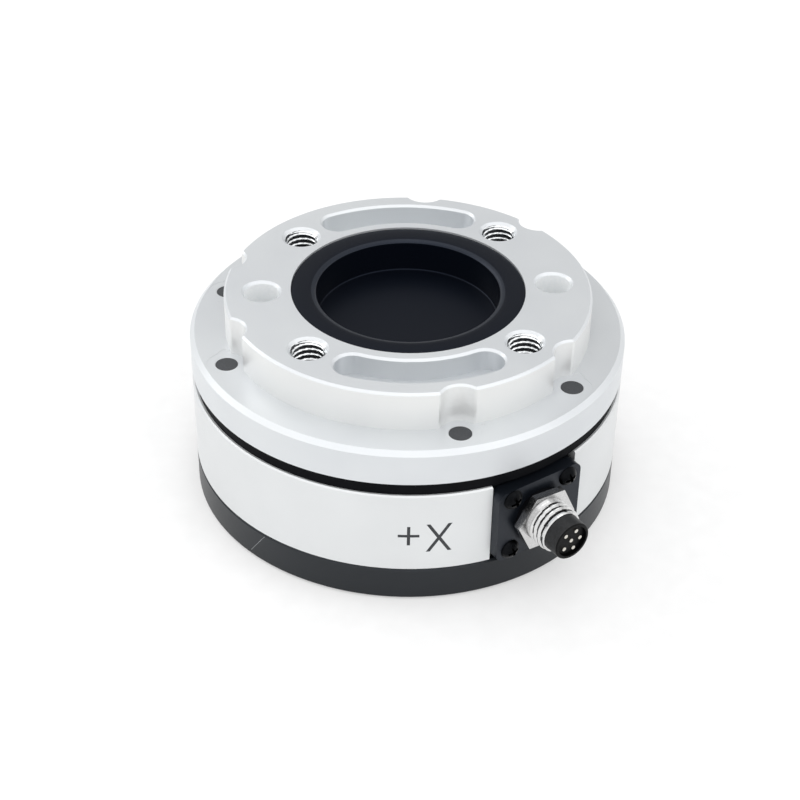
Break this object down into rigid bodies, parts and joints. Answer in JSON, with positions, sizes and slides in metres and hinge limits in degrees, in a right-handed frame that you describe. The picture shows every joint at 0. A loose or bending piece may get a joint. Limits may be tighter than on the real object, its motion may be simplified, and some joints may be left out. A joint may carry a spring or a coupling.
{
  "type": "force torque sensor",
  "caption": "Round wrist sensor with a scalloped tool flange, black pilot cup, soft seal band, silver housing, dark base and a side connector.",
  "frame": {"origin": "centre of the robot-side mounting face, on the sensor's axis", "axes": "+Z along the sensor's axis towards the tool; +X through the axis mark on the housing ring; the connector points 30 degrees from +X towards +Y"},
  "size_m": [0.0799, 0.075, 0.0374],
  "materials": {
    "flange_aluminium": "bead blasted and clear anodised",
    "housing_silver": "bead blasted and clear anodised",
    "base_dark": "satin, dark grey anodised",
    "element_aluminium": "fine milled",
    "cup_black": "smooth, satin",
    "plug_grey": "matt",
    "rubber_black": "matt",
    "plate_black": "satin",
    "steel": "zinc plated",
    "steel_black": "black oxide",
    "nickel": "nickel plated",
    "carrier_black": "smooth, satin",
    "contact_gold": "flash gold plated",
    "gauge_film": "glossy film",
    "board_green": "solder mask",
    "chip_black": "moulded, matt",
    "brass": "turned"
  },
  "bodies": {
    "root": {"tool_flange": "flange_aluminium", "hole_plugs": "plug_grey", "flange_screws": "steel", "pilot_cup": "cup_black", "cup_seal": "rubber_black", "seal_band": "rubber_black", "housing_ring": "housing_silver", "base_flange": "base_dark", "sensing_element": "element_aluminium", "strain_gauges": "gauge_film", "gauge_leads": "gauge_film", "hub_screws": "steel_black", "hub_dowels": "steel", "circuit_board": "board_green", "board_chips": "chip_black", "board_standoffs": "brass", "board_screws": "steel", "adapter_board": "board_green", "board_header": "chip_black", "plate_gasket": "rubber_black", "connector_plate": "plate_black", "plate_screws": "steel_black", "connector_shell": "nickel", "panel_washer": "rubber_black", "panel_nut": "nickel", "contact_carrier": "carrier_black", "contact_pins": "contact_gold"}
  },
  "joints": []
}
